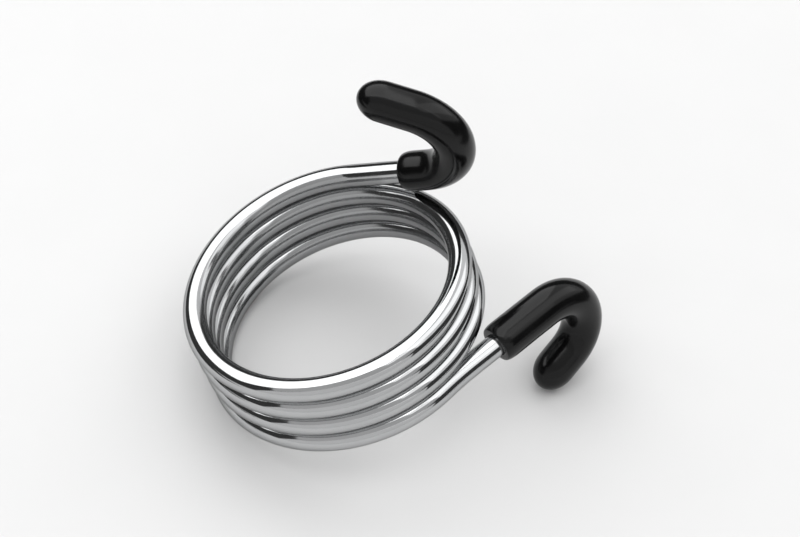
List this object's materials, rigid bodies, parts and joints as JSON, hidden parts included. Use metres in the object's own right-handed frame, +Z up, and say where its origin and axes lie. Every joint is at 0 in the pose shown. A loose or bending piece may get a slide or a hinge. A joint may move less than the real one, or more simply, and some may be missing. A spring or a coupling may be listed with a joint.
{
  "type": "spring clamp",
  "caption": "Torsion spring clamp: a close coil of round spring wire whose two tangential ends are bent into hooks with dipped vinyl grips.",
  "frame": {"origin": "middle of the footprint, on the surface that the clamp lies on", "axes": "+Z up; +X towards the side of the coil where the two gripped arms are; the coil's axis leans 19.64 degrees from +Z towards -X, because the clamp lies on its coil's lower rim and on the lower grip's tip"},
  "size_m": [0.0718, 0.051, 0.0494],
  "materials": {
    "spring_steel": "bright plated, polished",
    "black_vinyl": "glossy dipped vinyl"
  },
  "bodies": {
    "lower_arm": {"coil_turn_1": "spring_steel", "coil_turn_2": "spring_steel", "lower_arm_wire": "spring_steel", "lower_grip": "black_vinyl"},
    "upper_arm": {"coil_turn_3": "spring_steel", "coil_turn_4": "spring_steel", "upper_arm_wire": "spring_steel", "upper_grip": "black_vinyl"}
  },
  "joints": [
    {"name": "coil_wind", "type": "hinge", "parent": "lower_arm", "child": "upper_arm", "pos_m": [-0.00996, -0.00004, 0.01535], "axis": [0.3239, -0.0898, -0.9418], "range_deg": [-30, 30], "stiffness_Nm_per_rad": 4.9, "deforming": ["coil_turn_1", "coil_turn_2", "coil_turn_3", "coil_turn_4"]}
  ]
}
